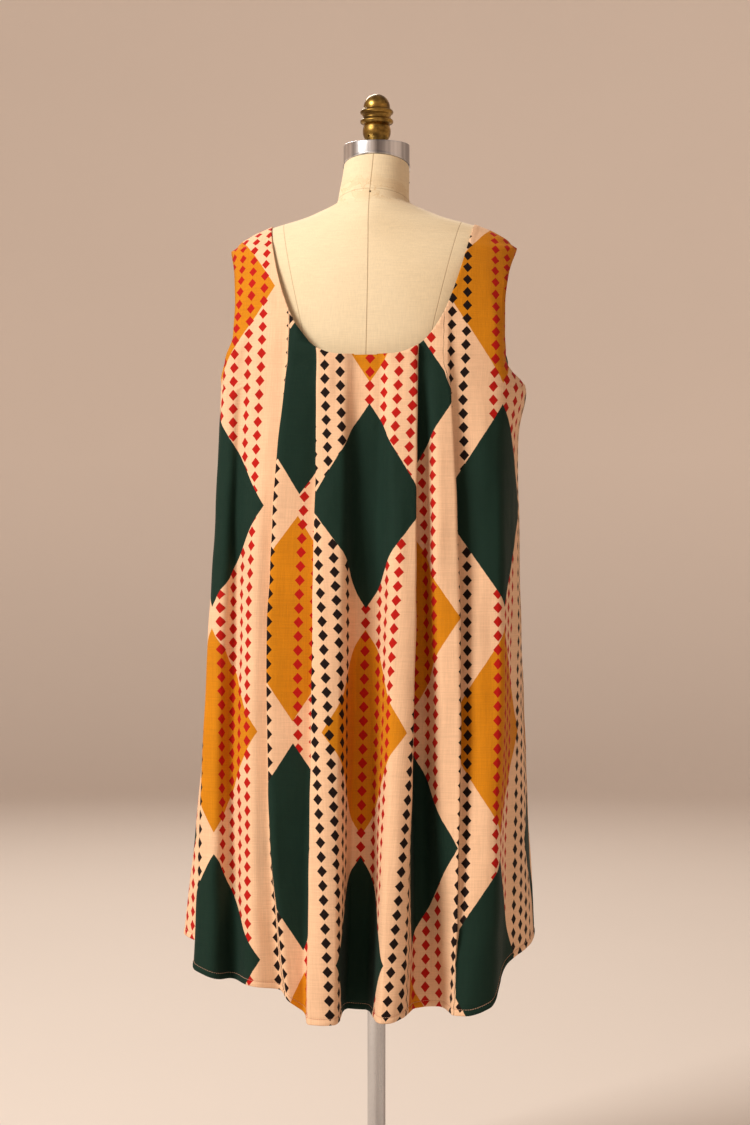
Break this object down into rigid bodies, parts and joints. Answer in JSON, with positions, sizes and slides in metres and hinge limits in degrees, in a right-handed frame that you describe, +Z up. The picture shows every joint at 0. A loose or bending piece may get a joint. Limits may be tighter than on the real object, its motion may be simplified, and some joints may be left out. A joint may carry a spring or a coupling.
{
  "type": "sleeveless dress with a pleated back on a limbless dress form",
  "caption": "Knee-length sleeveless cotton dress with pleats falling from a deep scooped back, worn by a limbless linen dress form with a chrome neck cap, brass finial and round stand.",
  "frame": {"origin": "centre of the stand base's flat underside, on the pole's axis", "axes": "+Z up along the pole, -Y towards the pleated back of the dress, +Y towards its plain front, +X to the right as seen from behind"},
  "size_m": [0.4819, 0.416, 1.5668],
  "materials": {
    "printed_cotton": "matt plain weave, printed on its right side",
    "linen": "matt stretched cover",
    "chrome": "polished",
    "brass": "aged and tarnished",
    "bright_steel": "bright drawn tube",
    "painted_iron": "satin black paint"
  },
  "bodies": {
    "root": {"dress_back": "printed_cotton", "dress_front": "printed_cotton", "form_torso": "linen", "neck_cap": "chrome", "finial": "brass", "pole": "bright_steel", "stand_base": "painted_iron"}
  },
  "joints": []
}
